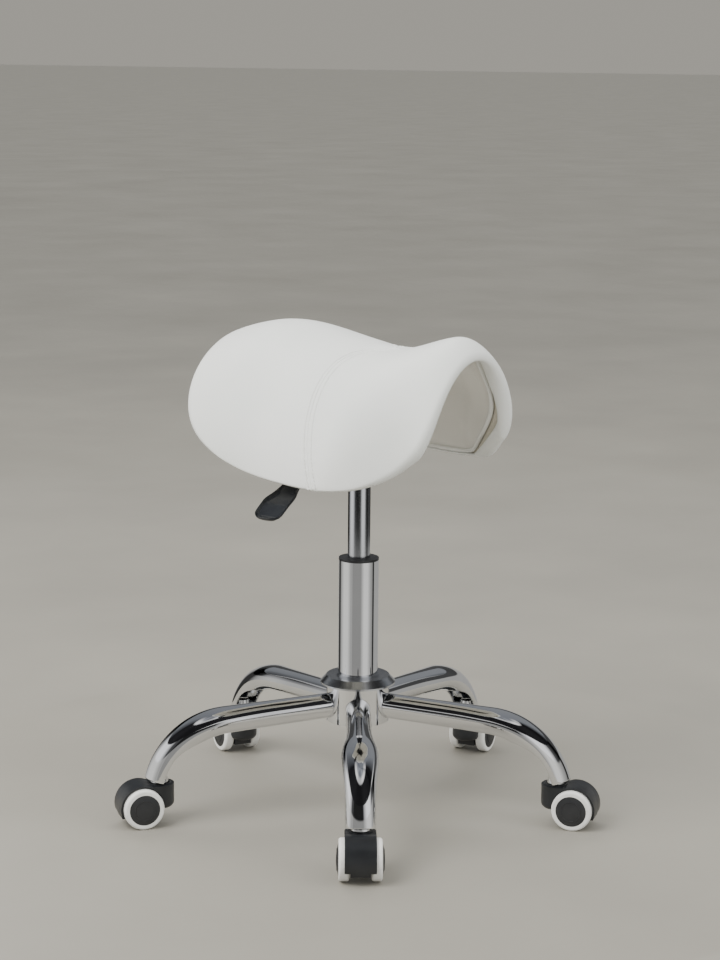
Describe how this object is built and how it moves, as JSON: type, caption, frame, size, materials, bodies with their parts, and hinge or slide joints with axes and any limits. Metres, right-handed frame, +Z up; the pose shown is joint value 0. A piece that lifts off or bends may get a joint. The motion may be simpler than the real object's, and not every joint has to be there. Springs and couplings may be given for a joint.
{
  "type": "adjustable swivel stool",
  "caption": "Saddle stool with a white padded seat, height lever, gas lift and swivel column on a chromed star base with twin-wheel castors.",
  "frame": {"origin": "on the floor, under the column's axis", "axes": "+Z up the column; the seat's front points along -Y and the sitter's left along +X at rest"},
  "size_m": [0.5745, 0.6006, 0.6088],
  "materials": {
    "chrome_base": "mirror-bright chrome plate",
    "black_bush": "black moulded plastic",
    "bearing_steel": "ground steel",
    "cylinder_steel": "satin plated steel",
    "black_plate": "black powder coat",
    "zinc_fasteners": "zinc plate",
    "moulded_ply": "moulded plywood",
    "foam": "polyurethane foam",
    "cover_leather": "white smooth synthetic leather, fine grain",
    "lining_cloth": "off-white lining sheet",
    "lever_plastic": "black moulded plastic",
    "castor_plastic": "black nylon",
    "white_tyre": "white soft tread"
  },
  "bodies": {
    "base": {"base_hub": "chrome_base", "hub_cap": "chrome_base", "column_tube": "chrome_base", "guide_bush": "black_bush", "stem_sockets": "chrome_base", "castor_stems": "chrome_base", "lower_race": "bearing_steel", "leg_1": "chrome_base", "leg_2": "chrome_base", "leg_3": "chrome_base", "leg_4": "chrome_base", "leg_5": "chrome_base"},
    "ball_ring": {"bearing_balls": "bearing_steel"},
    "spindle": {"piston_rod": "bearing_steel", "rod_piston": "black_bush", "rod_clip": "bearing_steel", "upper_race": "bearing_steel"},
    "seat": {"gas_cylinder": "cylinder_steel", "seat_plate": "black_plate", "seat_bolts": "zinc_fasteners", "tee_nuts": "zinc_fasteners", "seat_shell": "moulded_ply", "foam_pad": "foam", "cover_front": "cover_leather", "cover_rear": "cover_leather", "lining": "lining_cloth", "piping": "cover_leather"},
    "lever": {"lever_rod": "cylinder_steel", "lever_paddle": "lever_plastic"},
    "valve": {"valve_pin": "bearing_steel"},
    "castor_1": {"castor_hood_1": "castor_plastic", "castor_axle_1": "bearing_steel"},
    "wheel_1_left": {"tyre_left_1": "white_tyre", "wheel_left_1": "castor_plastic"},
    "wheel_1_right": {"tyre_right_1": "white_tyre", "wheel_right_1": "castor_plastic"},
    "castor_2": {"castor_hood_2": "castor_plastic", "castor_axle_2": "bearing_steel"},
    "wheel_2_left": {"tyre_left_2": "white_tyre", "wheel_left_2": "castor_plastic"},
    "wheel_2_right": {"tyre_right_2": "white_tyre", "wheel_right_2": "castor_plastic"},
    "castor_3": {"castor_hood_3": "castor_plastic", "castor_axle_3": "bearing_steel"},
    "wheel_3_left": {"tyre_left_3": "white_tyre", "wheel_left_3": "castor_plastic"},
    "wheel_3_right": {"tyre_right_3": "white_tyre", "wheel_right_3": "castor_plastic"},
    "castor_4": {"castor_hood_4": "castor_plastic", "castor_axle_4": "bearing_steel"},
    "wheel_4_left": {"tyre_left_4": "white_tyre", "wheel_left_4": "castor_plastic"},
    "wheel_4_right": {"tyre_right_4": "white_tyre", "wheel_right_4": "castor_plastic"},
    "castor_5": {"castor_hood_5": "castor_plastic", "castor_axle_5": "bearing_steel"},
    "wheel_5_left": {"tyre_left_5": "white_tyre", "wheel_left_5": "castor_plastic"},
    "wheel_5_right": {"tyre_right_5": "white_tyre", "wheel_right_5": "castor_plastic"}
  },
  "joints": [
    {"name": "seat_swivel", "type": "hinge", "parent": "base", "child": "spindle", "pos_m": [0, 0, 0.12], "axis": [0, 0, 1], "continuous": true},
    {"name": "ball_ring_turn", "type": "hinge", "parent": "base", "child": "ball_ring", "pos_m": [0, 0, 0.12], "axis": [0, 0, 1], "continuous": true},
    {"name": "height_adjust", "type": "slide", "parent": "spindle", "child": "seat", "axis": [0, 0, 1], "range_m": [-0.09, 0.03]},
    {"name": "lever_lift", "type": "hinge", "parent": "seat", "child": "lever", "pos_m": [-0.03, 0, 0.5196], "axis": [0, 1, 0], "range_deg": [0, 2], "stiffness_Nm_per_rad": 2},
    {"name": "valve_press", "type": "slide", "parent": "seat", "child": "valve", "axis": [0, 0, -1], "range_m": [0, 0.0011]},
    {"name": "castor_1_swivel", "type": "hinge", "parent": "base", "child": "castor_1", "pos_m": [0.25788, 0, 0.05], "axis": [0, 0, 1], "continuous": true},
    {"name": "castor_1_left_roll", "type": "hinge", "parent": "castor_1", "child": "wheel_1_left", "pos_m": [0.28151, 0.00417, 0.025], "axis": [-0.1736, 0.9848, 0], "continuous": true},
    {"name": "castor_1_right_roll", "type": "hinge", "parent": "castor_1", "child": "wheel_1_right", "pos_m": [0.28151, 0.00417, 0.025], "axis": [-0.1736, 0.9848, 0], "continuous": true},
    {"name": "castor_2_swivel", "type": "hinge", "parent": "base", "child": "castor_2", "pos_m": [0.07969, 0.24526, 0.05], "axis": [0, 0, 1], "continuous": true},
    {"name": "castor_2_left_roll", "type": "hinge", "parent": "castor_2", "child": "wheel_2_left", "pos_m": [0.09096, 0.26645, 0.025], "axis": [-0.8829, 0.4695, 0], "continuous": true},
    {"name": "castor_2_right_roll", "type": "hinge", "parent": "castor_2", "child": "wheel_2_right", "pos_m": [0.09096, 0.26645, 0.025], "axis": [-0.8829, 0.4695, 0], "continuous": true},
    {"name": "castor_3_swivel", "type": "hinge", "parent": "base", "child": "castor_3", "pos_m": [-0.20863, 0.15158, 0.05], "axis": [0, 0, 1], "continuous": true},
    {"name": "castor_3_left_roll", "type": "hinge", "parent": "castor_3", "child": "wheel_3_left", "pos_m": [-0.22804, 0.16568, 0.025], "axis": [-0.5878, -0.809, 0], "continuous": true},
    {"name": "castor_3_right_roll", "type": "hinge", "parent": "castor_3", "child": "wheel_3_right", "pos_m": [-0.22804, 0.16568, 0.025], "axis": [-0.5878, -0.809, 0], "continuous": true},
    {"name": "castor_4_swivel", "type": "hinge", "parent": "base", "child": "castor_4", "pos_m": [-0.20863, -0.15158, 0.05], "axis": [0, 0, 1], "continuous": true},
    {"name": "castor_4_left_roll", "type": "hinge", "parent": "castor_4", "child": "wheel_4_left", "pos_m": [-0.22804, -0.16568, 0.025], "axis": [0.5878, -0.809, 0], "continuous": true},
    {"name": "castor_4_right_roll", "type": "hinge", "parent": "castor_4", "child": "wheel_4_right", "pos_m": [-0.22804, -0.16568, 0.025], "axis": [0.5878, -0.809, 0], "continuous": true},
    {"name": "castor_5_swivel", "type": "hinge", "parent": "base", "child": "castor_5", "pos_m": [0.07969, -0.24526, 0.05], "axis": [0, 0, 1], "continuous": true},
    {"name": "castor_5_left_roll", "type": "hinge", "parent": "castor_5", "child": "wheel_5_left", "pos_m": [0.08711, -0.26808, 0.025], "axis": [0.9511, 0.309, 0], "continuous": true},
    {"name": "castor_5_right_roll", "type": "hinge", "parent": "castor_5", "child": "wheel_5_right", "pos_m": [0.08711, -0.26808, 0.025], "axis": [0.9511, 0.309, 0], "continuous": true}
  ],
  "couplings": [
    {"joint": "ball_ring_turn", "follows": "seat_swivel", "ratio": 0.5},
    {"joint": "valve_press", "follows": "lever_lift", "m_per_rad": 0.03}
  ]
}
